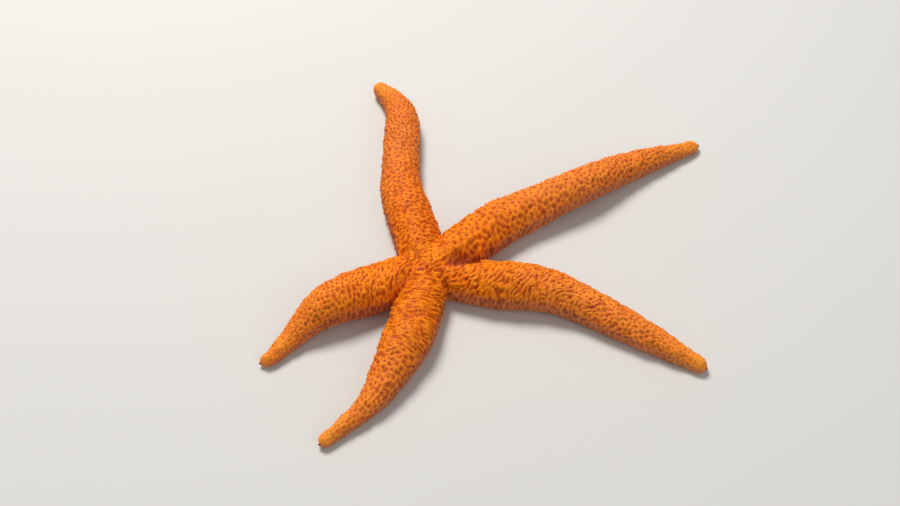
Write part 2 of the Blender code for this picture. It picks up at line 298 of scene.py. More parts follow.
class Arm:
    """One arm: its axis on the floor, and its width, height and lift at distances s along it."""

    def __init__(
        self, name, index, heading, length, widths, bends, lifts,
        spacings, narrowness, folds, skews, crease, shoulder=0.0,
    ):
        self.name, self.index, self.length = name, index, length * MM
        self.heading = math.radians(heading)
        self.bends = [(*mm(ends), math.radians(turn)) for *ends, turn in bends]
        self.lifts = [mm(lift) for lift in lifts]
        self.spacings, self.narrowness, self.skews = mm(spacings), narrowness, skews
        self.fold, self.fold_end = folds[0], folds[1] * MM
        self.crease, self.shoulder = mm(crease), shoulder
        self.half_gaps = [None, None]
        self.stations = np.linspace(FULL_WIDTH_TO, self.length, 4)
        self.widths = [ROOT_WIDTH, *mm(widths)]
        self.end_radius = END_RADIUS * self.widths[-1]
        step = 0.25 * MM
        self.along = np.arange(0.0, self.length + step, step)
        turned = self.heading_at(self.along)
        steps = np.stack([np.cos(turned), np.sin(turned)], axis=1) * step
        self.axis = np.concatenate([[[0.0, 0.0]], np.cumsum(steps, axis=0)[:-1]])

    def heading_at(self, s):
        """The first heading, plus each bend's turn times the smoothstep between its ends."""
        turns = (turn * smoothstep(s, start, end) for start, end, turn in self.bends)
        return sum(turns, np.full(np.shape(s), self.heading))

    def half_at(self, s):
        """Half the width of the skin."""
        return smooth_through(self.stations, self.widths, np.maximum(s, FULL_WIDTH_TO)) / 2 - COAT

    def width_at(self, s):
        """The width of the solid."""
        return 2 * (self.half_at(s) + COAT)

    def height_at(self, s):
        """From the disc's height to the root's by a smoothstep, then the width times a roundness."""
        inner = mixed(DISC_HEIGHT, ROOT_HEIGHT, smoothstep(s, 0.0, FULL_WIDTH_TO))
        share = np.clip((s - FULL_WIDTH_TO) / (self.length - FULL_WIDTH_TO), 0.0, 1.0)
        roundness = mixed(ROOT_HEIGHT / ROOT_WIDTH, TIP_ROUNDNESS, share)
        return np.where(s < FULL_WIDTH_TO, inner, self.width_at(s) * roundness)

    def lift_at(self, s):
        """Each lift is high sin^2 of the way between its ends."""
        ways = [np.clip((s - start) / (end - start), 0, 1) for start, end, _ in self.lifts]
        lifts = (lift[2] * np.sin(math.pi * way) ** 2 for lift, way in zip(self.lifts, ways))
        return sum(lifts, np.zeros(np.shape(s)))

    def place(self, s, across, up):
        """World points: across is to the left of the heading, and up is above the lifted floor."""
        turned = self.heading_at(s)
        x, y = (np.interp(s, self.along, self.axis[:, i]) for i in (0, 1))
        east = CENTRE[0] + x - across * np.sin(turned)
        north = CENTRE[1] + y + across * np.cos(turned)
        return np.stack([east, north, up + self.lift_at(s)], -1)


def middle_of(node):
    """The middle of a solid's box."""
    low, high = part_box(node)
    return np.array([(low[i] + high[i]) / 2 for i in range(3)])


CENTRE = middle_of("mouth")[:2]
PLATE_PLACE = middle_of("madreporite")
arms = [Arm(name, i, **sizes) for i, (name, sizes) in enumerate(ARMS.items())]
arms.sort(key=lambda arm: arm.heading)
for arm, following in zip(arms, arms[1:] + arms[:1]):
    gap = (following.heading - arm.heading) % (2 * math.pi)
    arm.half_gaps[0] = following.half_gaps[1] = gap / 2


def notch_at(half_gap):
    """Distance along an arm at which it parts from its neighbour."""
    return ROOT_HALF / math.tan(half_gap)


def reaches(arm, s):
    """Half the width, and how far the section goes to the left and right of the axis."""
    half = arm.half_at(s)
    return half, *(np.minimum(half, np.abs(s) * math.tan(gap)) for gap in arm.half_gaps)


def own_arch(arm, s, across):
    """The upper side of one arm, widest + rise sqrt(1 - (across / half)^2), a dome behind the centre.

    The left shoulder's rise is let down in a bell along the arm, fully from 0.7 of the half width.
    """
    height, half = arm.height_at(np.abs(s)), arm.half_at(np.abs(s))
    widest = WIDEST_AT * height
    rise = height - COAT - widest
    share = (across**2 + np.minimum(s, 0.0) ** 2) / half**2
    near = bell(s - SHOULDER_AT, SHOULDER_REACH)
    lowered = 1.0 - arm.shoulder * near * smoothstep(across / half, 0.0, 0.7)
    return widest + rise * lowered * np.sqrt(np.clip(1.0 - share, 0.0, 1.0))


def crease_softness(arm, s, across):
    """How softly the arms run together: most at the centre, and none past the notches."""
    left, right = (smoothstep(1.0 - s / notch_at(gap), 0.0, 0.8) for gap in arm.half_gaps)
    _, reach_left, reach_right = reaches(arm, s)
    share = np.clip((across + reach_right) / np.maximum(reach_left + reach_right, 1e-9), 0, 1)
    return CREASE_SOFTNESS * mixed(right, left, share)


def creases(arm, s, across):
    """How deep the creases between the arms are: each a bell across its line, from disc to notch.

    They stop short of the sieve plate, and are full at 2.5 of its radius.
    """
    depth = 0.0
    for other in arms:
        line = other.heading + other.half_gaps[0] - arm.heading
        deepest, shift, left_width, right_width = other.crease
        along, beside = on_axes(s, across, line)
        beside = beside + shift
        notch = ROOT_HALF / math.sin(other.half_gaps[0])
        ends = smoothstep(along, *CREASES_GROW) * smoothstep(notch - along, *CREASES_FADE)
        width = np.where(beside > 0.0, left_width, right_width)
        depth = depth + deepest * ends * bell(beside, width)
    plate_s, plate_across = on_axes(*(PLATE_PLACE[:2] - CENTRE), arm.heading)
    from_plate = np.hypot(s - plate_s, across - plate_across)
    return depth * smoothstep(from_plate, PLATE_RADIUS, 2.5 * PLATE_RADIUS)


def top_up(arm, s, across):
    """Height of the upper side: a soft maximum, k log sum exp(h / k), of the five arms' arches."""
    softness = np.maximum(crease_softness(arm, s, across), 1e-7)
    heights = [own_arch(arm, s, across)]
    for other in arms:
        if other is not arm:
            there = on_axes(s, across, other.heading - arm.heading)
            heights.append(np.where(s < DISC_REACH, own_arch(other, *there), 0.0))
    heights = np.stack(heights)
    highest = heights.max(0)
    merged = highest + softness * np.log(np.exp((heights - highest) / softness).sum(0))
    sink = CENTRE_SINK * np.exp(-(s**2 + across**2) / CENTRE_SINK_RADIUS**2)
    return merged - sink - creases(arm, s, across)


def lip_at(arm, s, side):
    """Half the width of the furrow, at most 0.6 of the section's side where that is clipped."""
    return np.minimum(arm.width_at(s) * FURROW_HALF_WIDTH + COAT, 0.6 * side)


def bottom_up(arm, s, across):
    """Height of the underside: planed flat, with the furrow and the hollow round the mouth."""
    widest = WIDEST_AT * arm.height_at(s)
    width = arm.width_at(s)
    share = np.clip(np.abs(across) / arm.half_at(s), 0.0, 1.0)
    pushed = FLAT_SHARE * (1.0 - share**UNDERSIDE_POWER) ** (1 / UNDERSIDE_POWER)
    flat = widest - (widest - COAT) * soft_min(pushed, 1.0, FLAT_SOFTNESS)
    lip = width * FURROW_HALF_WIDTH + COAT
    roof = (width * FURROW_DEPTH + COAT) * np.sqrt(np.clip(1.0 - (across / lip) ** 2, 0.0, 1.0))
    reach = HOLLOW_RADIUS + HOLLOW_EDGE
    hollow = (HOLLOW_DEPTH + COAT) * (1.0 - smoothstep(np.hypot(s, across), 0.2 * reach, reach))
    return np.maximum(flat, np.maximum(roof, hollow))


def rows_of(arm):
    """Distances along the arm and shrink factors of the skin's rows, from the centre to the tip.

    The disc's rows are the same for all arms and include every notch, so that neighbours meet. The
    last rows are at equal turns of a quarter circle.
    """
    notches = {notch_at(other.half_gaps[0]) for other in arms}
    shared = sorted({*np.linspace(0.0, DISC_REACH, int(DISC_REACH / ROW_STEP) + 1), *notches})
    straight_end = arm.length - arm.end_radius
    free = straight_end - DISC_REACH
    mean_step = ROW_STEP + ROW_STEP_GROWTH / 2
    count = int(free / mean_step)
    t = np.linspace(0.0, 1.0, count + 1)[1:]
    growth = ROW_STEP_GROWTH / mean_step / 2
    spaced = DISC_REACH + free * (t * (1.0 - growth) + growth * t**2)
    turn = np.linspace(0.0, math.pi / 2, TIP_ROWS + 1)[1:]
    rounded = straight_end + (arm.end_radius - COAT) * np.sin(turn)
    scales = np.concatenate([np.ones(len(shared) + count), np.cos(turn)])
    scales[-1] = 0.0
    return np.concatenate([shared, spaced, rounded]), scales


def map_at(arm, s, around):
    """The skin's map: a strip for each arm, whose width goes once round it and length along it."""
    longest = max(other.length for other in arms)
    across = (arm.index + 0.02 + 0.48 * around) / len(arms)
    return np.stack(np.broadcast_arrays(across, 0.01 + 0.98 * s / longest), -1)


def skin_grid(arm):
    """The smooth skin of one arm on a grid, with what else the skin needs at each point.

    Rows go along the arm, and columns over the top and back under it. The top's columns are equal
    steps of the angle a with across = half sin a. The underside's columns run from the side to the
    furrow's lip and over its roof, at sines of equal steps.
    """
    distances, scales = rows_of(arm)
    s, shrink = distances[:, None], scales[:, None]
    half, left, right = reaches(arm, s)
    share = np.linspace(0.0, 1.0, TOP_COLUMNS + 1)
    high, low = (np.arcsin(np.clip(side / half, 0, 1)) for side in (left, right))
    across_top = half * np.sin(mixed(-low, high, share))
    up_top = top_up(arm, s, across_top)

    flank = np.sin(np.linspace(1.0, 0.0, SIDE_COLUMNS + 1) * math.pi / 2)
    roof = np.sin(np.linspace(1.0, -1.0, FURROW_COLUMNS + 1) * math.pi / 2)[1:-1]
    lips = [lip_at(arm, s, side) for side in (left, right)]
    left_flank, right_flank = (mixed(lip, side, flank) for lip, side in zip(lips, (left, right)))
    middle = np.where(roof > 0, *lips) * roof
    across_bottom = np.concatenate([left_flank, middle, -right_flank[:, ::-1]], 1)
    up_bottom = bottom_up(arm, s, across_bottom)
    for side, at, below in ((left, -1, 0), (right, 0, -1)):
        free = side[:, 0] > half[:, 0] - 1e-7
        up_top[:, at] = np.where(free, up_bottom[:, below], up_top[:, at])

    across = np.concatenate([across_top, across_bottom], 1) * shrink
    up = mixed(WIDEST_AT * arm.height_at(s), np.concatenate([up_top, up_bottom], 1), shrink)
    s = np.broadcast_to(s, across.shape)
    around = np.broadcast_to(np.concatenate([share, 1.0 + np.linspace(0.0, 1.0, UNDER_COLUMNS)]), s.shape)
    # The painted shade in the creases between the arms: how deep a crease is, as a share of SHADE_DEPTH.
    shade = smoothstep(creases(arm, s[:, : TOP_COLUMNS + 1], across_top), 0.0, SHADE_DEPTH)
    return {
        "points": arm.place(s, across, up),
        "ahead": level_way(arm.heading_at(s)),
        "map": map_at(arm, s, around),
        "around": around,
        "to_end": arm.length - s,
        "shade": np.pad(shade, ((0, 0), (0, UNDER_COLUMNS))),
        "arm": np.full(s.shape, arm.index),
    }


# --- Pits ---


def fold_at(arm, s):
    """How much longer than round the pits are, as the square of their length over their spacing."""
    outer = mixed(1.0, arm.fold, 1.0 - smoothstep(s, 0.35 * arm.fold_end, arm.fold_end))
    return mixed(DISC_STRETCH, outer, smoothstep(s, *DISC_STRETCH_TO))


def narrow_way(arm, s, places):
    """Which way the pits are narrow, level with the floor.

    It is straight out from the middle near the disc, and along the arm further out, plus the arm's
    skew. Ways are mixed as doubled angles, because a fold points both ways.
    """
    x, y = (places[:, :2] - CENTRE).T
    skew = np.radians(np.interp(s, (SKEW_FROM, arm.fold_end), arm.skews))
    outward = np.exp(2j * (np.arctan2(y, x) + skew))
    along = np.exp(2j * (arm.heading_at(s) + skew))
    doubled = mixed(outward, along, smoothstep(s, *OUTWARD_TO))
    doubled = mixed(np.exp(2j * DISC_WAY), doubled, smoothstep(np.hypot(x, y), *DISC_WAY_TO))
    return level_way(np.angle(doubled) / 2)


def section_curve(arm, s):
    """Across and up of points round a section, from lip to lip over the top.

    Near the centre a side that meets a neighbour stops at the top's edge.
    """
    at = np.array(s)
    half, left, right = (float(v) for v in reaches(arm, at))
    low, high = (math.asin(min(side / half, 1)) for side in (right, left))
    top = half * np.sin(np.linspace(high, -low, 50))
    lip = float(lip_at(arm, at, half))
    flank = mixed(lip, half, np.sin(np.linspace(0.0, 1.0, 16)[:-1] * math.pi / 2))
    left_flank = flank if left >= half else flank[:0]
    right_flank = -flank[::-1] if right >= half else flank[:0]
    ups = [bottom_up(arm, at, left_flank), top_up(arm, at, top), bottom_up(arm, at, right_flank)]
    return np.concatenate([left_flank, top, right_flank]), np.concatenate(ups)


def pit_seeds(arm, rng):
    """First middles of the pits: rings of jittered points, each ring half a step round from the last.

    Gives, for each ring, what PIT names.
    """
    s, ring = 0.9 * MM, 0
    while s < arm.length - 1.0 * MM:
        spacing = arm.spacings[0] + (arm.spacings[1] - arm.spacings[0]) * s / arm.length
        on_disc = 1.0 - smoothstep(s, *DISC_SPACING_TO)
        spacing = mixed(spacing, DISC_PIT_SPACING, on_disc)
        across, up = section_curve(arm, s)
        over = np.clip((s - arm.length + arm.end_radius) / (arm.end_radius - COAT), 0.0, 1.0)
        shrink = math.sqrt(1.0 - over**2)
        across, up = across * shrink, mixed(WIDEST_AT * float(arm.height_at(np.array(s))), up, shrink)
        walked = np.concatenate([[0.0], np.cumsum(np.hypot(np.diff(across), np.diff(up)))])
        count = max(1, round(walked[-1] / spacing))
        jitter = PIT_JITTER * rng.normal(size=(2, count)).clip(-1.8, 1.8)
        stops = (np.arange(count) + 0.25 + 0.5 * (ring % 2) + jitter[0]) / count * walked[-1]
        along = np.clip(s + spacing * jitter[1], 0.3 * MM, arm.length - 0.6 * MM)
        here = arm.place(along, np.interp(stops, walked, across), np.interp(stops, walked, up))
        narrowness = mixed(arm.narrowness, DISC_NARROWNESS, on_disc)
        sizes = (np.full(count, size) for size in (spacing, narrowness))
        yield here, narrow_way(arm, along, here), fold_at(arm, along), *sizes
        s += spacing * 0.92
        ring += 1


def one_per_cell(places, size, rng):
    """Numbers of points, at most one in each cube of that size, taken in random order."""
    order = rng.permutation(len(places))
    cells = np.floor(places[order] / size).astype(np.int64)
    _, first = np.unique(cells, axis=0, return_index=True)
    return order[np.sort(first)]


def even_out(pits, samples):
    """Moves the pits, a few times, to the mean of the samples that lie nearest to them."""
    for _ in range(EVENING_ROUNDS):
        places = pits["place"]
        number = nearest_pits(samples, pits)[1][:, 0]
        count = np.bincount(number, minlength=len(places))
        sums = np.stack([np.bincount(number, samples[:, i], len(places)) for i in range(3)], -1)
        pits["place"] = np.where(count[:, None] > 0, sums / np.maximum(count, 1)[:, None], places)


def nearest_pits(points, pits, block=700):
    """For each point: its distances to the three nearest pits, and their numbers.

    A pit's own measure counts distance its narrow way as longer, by its stretch q, and the other
    way as shorter: d^2 = q a^2 + (r^2 - a^2) / q, for a the narrow way and r in all.
    """
    distance, number = np.empty((len(points), 3)), np.empty((len(points), 3), int)
    seeds = pits["place"]
    for start in range(0, len(points), block):
        part = points[start : start + block]
        close = (seeds > part.min(0) - SEARCH_REACH) & (seeds < part.max(0) + SEARCH_REACH)
        candidates = np.flatnonzero(np.all(close, axis=1))
        away = part[:, None] - seeds[candidates][None]
        along = np.einsum("ijk,jk->ij", away, pits["way"][candidates]) ** 2
        q = pits["stretch"][candidates][None]
        measure = np.sqrt(q * along + ((away**2).sum(-1) - along) / q)
        closest = np.argpartition(measure, 2, axis=1)[:, :3]
        order = np.take_along_axis(measure, closest, 1).argsort(1)
        closest = np.take_along_axis(closest, order, 1)
        distance[start : start + block] = np.take_along_axis(measure, closest, 1)
        number[start : start + block] = candidates[closest]
    return distance, number


def ridge_gaps(distance, number, pits):
    """How far each ridge is let down, as a share of the pits' spacing: nothing at its knots.

    Which ridges are let down is random, from a hash of their two pits' numbers, and more so those
    that end a long pit than those beside it.
    """
    low, high = number[:, :2].min(1), number[:, :2].max(1)
    chance = np.modf(np.abs(np.sin(12.9898 * low + 78.233 * high)) * 43758.5453)[0]
    nearest = number[:, 0]
    between = unit(pits["place"][number[:, 1]] - pits["place"][nearest])
    endwise = 1.0 - np.abs((between * pits["way"][nearest]).sum(1))
    lean = 0.6 + endwise * np.clip(pits["stretch"][nearest] - 1.0, 0.0, 1.2)
    from_knot = (distance[:, 2] - distance[:, 1]) / pits["spacing"][nearest]
    let_down = EVERY_RIDGE_GAP + RIDGE_GAPS * smoothstep(chance, 0.30, 0.95) * lean
    return let_down * smoothstep(from_knot, 0.0, KNOT_REACH)


def pit_pattern(points, rng):
    """The pits as they lie at each point.

    Gives the distance from the nearest pit's middle, how far the ridge is as a share of the pit's
    spacing, how deep in the pit the point is from 0 to 1, and the pit's depth and its own factor.
    """
    rings = [ring for arm in arms for ring in pit_seeds(arm, rng)]
    pits = {key: np.concatenate(part) for key, part in zip(PIT, zip(*rings))}
    even_out(pits, points[np.sort(one_per_cell(points, SAMPLE_CELL, rng))])
    wavy = points + WAVE * np.stack([ripple(points, WAVE_LENGTH, seed) for seed in (21, 22, 23)], -1)
    distance, number = nearest_pits(wavy, pits)
    gaps = ridge_gaps(distance, number, pits)
    size, deep = (rng.uniform(*factors, len(pits["place"])) for factors in (SIZES, DEPTHS))
    nearest, number = distance[:, 0], number[:, 0]
    spacing = pits["spacing"][number]
    edge = (distance[:, 1] - nearest) / spacing + gaps
    inside = smoothstep(edge / size[number], RIDGE_TOP, RIDGE_REACH) ** pits["narrowness"][number]
    return nearest, edge, inside, PIT_DEPTH * spacing, deep[number]


# --- Meshes ---


def add_object(name, data):
    """A new object in the scene, at the origin and unturned."""
    made = bpy.data.objects.new(name, data)
    bpy.context.scene.collection.objects.link(made)
    return made


def add_mesh(name, points, faces, uv=None, marks=None):
    """A smooth-shaded mesh object at the origin from points and arrays of quads and triangles.

    uv holds a place for each corner of each face, in the faces' order, and marks a number for each
    point under each name.
    """
    mesh = bpy.data.meshes.new(name)
    mesh.from_pydata(points, [], [corners for part in faces for corners in part.tolist()])
    mesh.validate()
    if uv is not None:
        mesh.uv_layers.new(name="OFBake").uv.foreach_set("vector", uv.astype(np.float32).ravel())
    for mark, values in (marks or {}).items():
        mesh.attributes.new(mark, "FLOAT", "POINT").data.foreach_set("value", values.astype(np.float32))
    mesh.shade_smooth()
    return add_object(name, mesh)


def dress(piece, material, slot, *nodes):
    """Gives a piece its material and its body, and hides the solids that it stands for. slot is not used.
    """
    piece.data.materials.append(material)
    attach(piece, "root")
    if nodes:
        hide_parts(*nodes)


def point_normals(points, faces):
    """Unit normals: the sum of the cross products of the faces' diagonals, or of two sides."""
    normals = np.zeros_like(points)
    for part in faces:
        corner = points[part]
        cross = np.cross(corner[:, -2] - corner[:, 0], corner[:, -1] - corner[:, -3])
        for i in range(part.shape[1]):
            np.add.at(normals, part[:, i], cross)
    return unit(normals)


def without_pinches(quads, merged):
    """Quads of merged points, and those with a side of no length as triangles, with old numbers too."""
    new = merged[quads]
    same = new == np.roll(new, -1, axis=1)
    whole, pinched = same.sum(1) == 0, same.sum(1) == 1
    keep = ~same[pinched]
    old_triangles = quads[pinched][keep].reshape(-1, 3)
    return [new[whole], merged[old_triangles]], [quads[whole], old_triangles]


def peaks(field):
    """Where a grid's inner points are higher than all eight neighbours."""
    around = np.lib.stride_tricks.sliding_window_view(field, (3, 3)).reshape(len(field) - 2, -1, 9)
    return (around[..., 4:5] > np.delete(around, 4, -1)).all(-1)


def tip_share(to_end):
    """How much of an arm's tip a place is, from its distance to the arm's end."""
    return 1.0 - smoothstep(to_end, *TIP_OVER)


def build_skin():
    """The skin's mesh, and what the coat needs at every point of the grids that it is made from.

    A point is moved along its normal by lumps and beads, less the depth of its pit. Pits fade under
    the arms, at their ends, beside the sieve plate and at one place by the middle.
    """
    rng = np.random.default_rng(7)
    grids = [skin_grid(arm) for arm in arms]
    raw = {key: np.concatenate([g[key].reshape(-1, *g[key].shape[2:]) for g in grids]) for key in grids[0]}
    points, around = raw["points"], raw["around"]
    quads, numbers, first = [], {}, 0
    for arm, grid in zip(arms, grids):
        shape = grid["around"].shape
        number = first + np.arange(shape[0] * shape[1]).reshape(shape)
        for part in (number[:, : TOP_COLUMNS + 1], number[:, TOP_COLUMNS + 1 :]):
            corners = [part[:-1, :-1], part[1:, :-1], part[1:, 1:], part[:-1, 1:]]
            quads.append(np.stack(corners, -1).reshape(-1, 4))
        numbers[arm.name] = number
        first += number.size

    keys = np.round(points / WELD + 0.37).astype(np.int64)
    _, chosen, merged = np.unique(keys, axis=0, return_index=True, return_inverse=True)
    merged = merged.ravel()
    faces, old_faces = without_pinches(np.concatenate(quads), merged)
    smooth = points[chosen]
    normals = point_normals(smooth, faces)

    nearest, edge, inside, depth, deep = pit_pattern(points, rng)
    level = normals[merged][:, 2]
    under = smoothstep(-level, 0.1, 0.8)
    end = 1.0 - smoothstep(raw["to_end"], *END_OVER)
    from_plate = np.linalg.norm(points - PLATE_PLACE, axis=1)
    x, y = (points[:, :2] - CENTRE).T
    fade = (1.0 - UNDER_FADE * under) * (1.0 - END_FADE * end)
    fade = fade * smoothstep(from_plate, PLATE_RADIUS, 1.5 * PLATE_RADIUS)
    from_smooth = np.hypot(x - SMOOTH_PLACE[0], y - SMOOTH_PLACE[1])
    fade = fade * (1.0 - SMOOTH_FADE * bell(from_smooth, SMOOTH_RADIUS))
    pit = inside * fade
    broad, small, beads = (
        height * ripple(points, length, seed) for seed, (height, length) in enumerate(UNEVEN, 3)
    )
    lumps = np.clip(broad + small - LUMPS_DOWN, *LUMPS_BETWEEN)
    shift = -depth * pit * deep + lumps * (1 - under) + beads * (1 - under)

    column = (around - 1.0) * (UNDER_COLUMNS - 1)
    in_furrow = np.abs(column - (UNDER_COLUMNS - 1) / 2) < FURROW_COLUMNS / 2 + 0.5
    in_hollow = (around > 1.0) & (np.hypot(x, y) < BARE_WITHIN)
    pit_floors = {}
    for arm in arms:
        number = numbers[arm.name]
        inner = number[1:-1, 1:-1]
        pit_floors[arm.name] = inner[peaks(-nearest[number]) & (pit[inner] > 0.5)]

    marks = {"pit": pit, "tip": tip_share(raw["to_end"]), "level": level, "shade": raw["shade"]}
    final = smooth + normals * shift[chosen][:, None]
    uv = np.concatenate([raw["map"][part].reshape(-1, 2) for part in old_faces])
    return raw | {
        "mesh": (final, faces, uv, {mark: values[chosen] for mark, values in marks.items()}),
        "points": final[merged],
        "normals": point_normals(final, faces)[merged],
        "marks": marks,
        "edge": edge,
        "bare": in_furrow | in_hollow | (from_plate < 1.25 * PLATE_RADIUS),
        "pit_floors": pit_floors,
    }


def tube_faces(rings, sides):
    """Quads between rings of points, and triangles from the first and last ring to a pole each."""
    number = 1 + np.arange(rings * sides).reshape(rings, sides)
    beside = np.roll(number, -1, axis=1)
    quads = np.stack([number[:-1], beside[:-1], beside[1:], number[1:]], -1).reshape(-1, 4)
    below = np.stack([np.zeros(sides, int), beside[0], number[0]], -1)
    above = np.stack([number[-1], beside[-1], np.full(sides, rings * sides + 1)], -1)
    return quads, np.concatenate([below, above])


def fingers(name, paths, widths, profile, sides, roots, marks):
    """Many closed fingers in one mesh: rings carried along paths, with a pole at each end.

    Ring k is path[k] + width profile[k] (cos t u + sin t v), for u and v square to the path. A
    finger's map is a patch 0.003 across at its root's place on the skin's map.
    """
    count, rings = paths.shape[:2]
    radii = widths[:, None] * np.array(profile)
    along = unit(np.gradient(paths, axis=1))
    helper = np.where(np.abs(along[:, :1, 2:]) > 0.8, [[[1.0, 0.0, 0.0]]], [[[0.0, 0.0, 1.0]]])
    u = unit(np.cross(along, helper))
    v = np.cross(along, u)
    turn = np.linspace(0, 2 * math.pi, sides + 1)[:-1]
    ring = np.cos(turn)[:, None] * u[:, :, None] + np.sin(turn)[:, None] * v[:, :, None]
    body = paths[:, :, None] + radii[:, :, None, None] * ring
    low = paths[:, :1] - along[:, :1] * radii[:, :1, None] * 0.3
    high = paths[:, -1:] + along[:, -1:] * radii[:, -1:, None] * 0.6
    points = np.concatenate([low, body.reshape(count, -1, 3), high], 1)

    level = np.concatenate([[0.0], np.repeat((np.arange(rings) + 1) / (rings + 1), sides), [1.0]])
    place = np.concatenate([[0.5], np.tile((np.arange(sides) + 0.5) / sides, rings), [0.5]])
    patch = PATCH * (np.stack([place, level], -1) - 0.5)
    per = points.shape[1]
    offsets = (np.arange(count) * per)[:, None, None]
    faces = [(part[None] + offsets).reshape(-1, part.shape[1]) for part in tube_faces(rings, sides)]
    uv_points = (roots[:, None] + patch[None]).reshape(-1, 2)
    uv = np.concatenate([uv_points[part].reshape(-1, 2) for part in faces])
    spread = {mark: np.repeat(values, per) for mark, values in marks.items()}
    spread["height"] = np.tile(level, count)
    return add_mesh(name, points.reshape(-1, 3), faces, uv, spread)


def turned_piece(name, place, rows, columns, **marks):
    """A closed surface place(t, v), for t once round and v from its lower pole to its upper one."""
    t = np.linspace(0.0, 2 * math.pi, columns + 1)[None, :-1]
    v = np.linspace(0.0, 1.0, rows + 1)[:, None]

    def with_one_pole_each(grid):
        """A grid as rows of values, its first and last row as one value each."""
        grid = np.broadcast_to(grid, (rows + 1, columns, grid.shape[-1]))
        return np.concatenate([grid[0, :1], grid[1:-1].reshape(-1, grid.shape[-1]), grid[-1, :1]])

    values = {mark: with_one_pole_each(at(t, v)[..., None])[:, 0] for mark, at in marks.items()}
    return add_mesh(name, with_one_pole_each(place(t, v)), tube_faces(rows - 1, columns), marks=values)


# --- Materials ---

# Cells of the patterns in a metre. Mottles are patches 4 mm across. Real pores and plate holes are
# about 0.1 mm apart, and are drawn 0.56 mm and 0.38 mm apart so that they show.
MOTTLES = 240.0
PORES = 1800.0
PLATE_GRAIN = 2600.0
PIGMENT_CUPS = 9000.0


def linear(hex_colour):
    """The linear colour of an sRGB hex value."""
    srgb = np.array([int(hex_colour[i : i + 2], 16) for i in (1, 3, 5)]) / 255
    return (*np.where(srgb <= 0.04045, srgb / 12.92, ((srgb + 0.055) / 1.055) ** 2.4), 1.0)


def new_material(name, *marks):
    """A new material, and its functions add and shade, its place socket and one for each mark."""
    made = bpy.data.materials.new(name)
    made.use_nodes = True
    tree = made.node_tree

    def connect(node, values):
        """Sets or links inputs, by name or number. A hex colour is turned to linear."""
        for key, value in values.items():
            socket = node.inputs[int(key[1:]) if key[0] == "_" else key.replace("_", " ")]
            if isinstance(value, bpy.types.NodeSocket):
                tree.links.new(value, socket)
            else:
                socket.default_value = linear(value) if isinstance(value, str) else value

    def add(kind, output=0, stops=(), **values):
        """Adds a node and returns an output. Names in small letters are settings, others inputs."""
        node = tree.nodes.new("ShaderNode" + kind)
        for key in [key for key in values if key[0].islower()]:
            setattr(node, key, values.pop(key))
        for i, (position, colour) in enumerate(stops):
            elements = node.color_ramp.elements
            element = elements[i] if i < 2 else elements.new(position)
            element.position, element.color = position, linear(colour)
        connect(node, values)
        return node.outputs[output]

    def shade(**values):
        """Sets or links the shader's inputs."""
        connect(tree.nodes["Principled BSDF"], values)

    sockets = (add("Attribute", "Fac", attribute_name=mark) for mark in marks)
    return made, add, shade, add("TexCoord", "Object"), *sockets


def body_wall_material():
    """Body wall: wet leathery skin over limestone plates, living.

    Its orange is most yellow on the crests of the ridges and turns to dark red in the pits, where
    the skin is thin. Steep flanks are tinted darker red-brown, and the creases between the arms darker,
    both as painted shade; the tips of spinelets and spines are paler, as a painted highlight. Away from
    the disc it is a little paler, and towards the tips plainer, with paler pits. Being wet and finely
    bumpy, it has a broad soft gloss.
    """
    made, add, shade, place, pit, tip, level, crease, height = new_material(
        "wet_body_wall", "pit", "tip", "level", "shade", "height"
    )
    mottle = add("TexNoise", "Fac", Vector=place, Scale=MOTTLES, Detail=3.0, Roughness=0.6)
    pores = add("TexNoise", "Fac", Vector=place, Scale=PORES, Roughness=0.6)
    ragged = add("Math", operation="MULTIPLY_ADD", _0=pores, _1=0.34, _2=-0.17)
    depth = add("Math", operation="ADD", _0=pit, _1=ragged)
    shallower = add("MapRange", Value=tip, _3=1.0, _4=0.6)
    depth = add("Math", operation="MULTIPLY", _0=depth, _1=shallower)
    top_stops = [(0.0, "#FC9014"), (0.3, "#F68810"), (0.65, "#E2700E"), (1.0, "#BE5008")]
    # Steep flanks are tinted darker red-brown by how far their normal turns from up: painted shade.
    flank_shade_stops = [(0.0, "#DE824C"), (0.4, "#C26C44"), (1.0, "#90462C")]
    colour, flank = (add("ValToRGB", stops=stops, Fac=depth) for stops in (top_stops, flank_shade_stops))
    out = add("VectorMath", "Value", operation="DISTANCE", _0=place, _1=(*CENTRE, 0.0))
    plain, flank_shade_share, outer, beneath = (
        add("MapRange", interpolation_type="SMOOTHSTEP", Value=value, _1=low, _2=high, _4=most)
        for value, low, high, most in (
            (tip, 0.2, 1.0, 0.45),
            (level, 0.50, 0.02, 0.9),
            (out, 18 * MM, 60 * MM, 0.11),
            (level, -0.35, -0.85, 0.75),
        )
    )
    patch = add("MapRange", Value=mottle, _1=0.38, _2=0.68, _4=0.35)
    # Spinelets and other spines are mixed towards pale orange #FFA838 near their tips, by their height: a
    # painted highlight.
    spine_tip_highlight = add("MapRange", Value=height, _1=0.3, _2=1.0, _4=0.25)
    # The creases between the arms are mixed towards dark red-brown #AA4A2E by the shade mark: painted
    # shade.
    shaded = add("Math", operation="MULTIPLY", _0=crease, _1=0.85)
    tints = [(plain, "MIX", "#FF9E18"), (flank_shade_share, "MIX", flank), (patch, "MULTIPLY", "#EE9C70")]
    tints += [(outer, "MIX", "#F0B080"), (beneath, "MIX", "#F2A45C"), (spine_tip_highlight, "MIX", "#FFA838")]
    for share, way, tint in (*tints, (shaded, "MIX", "#AA4A2E")):
        colour = add("Mix", 2, data_type="RGBA", blend_type=way, _0=share, _6=colour, _7=tint)
    bump = add("Bump", Strength=0.4, Distance=0.3 * MM, Height=pores)
    shade(Base_Color=colour, Roughness=0.52, Specular_IOR_Level=0.10, Normal=bump)
    return made


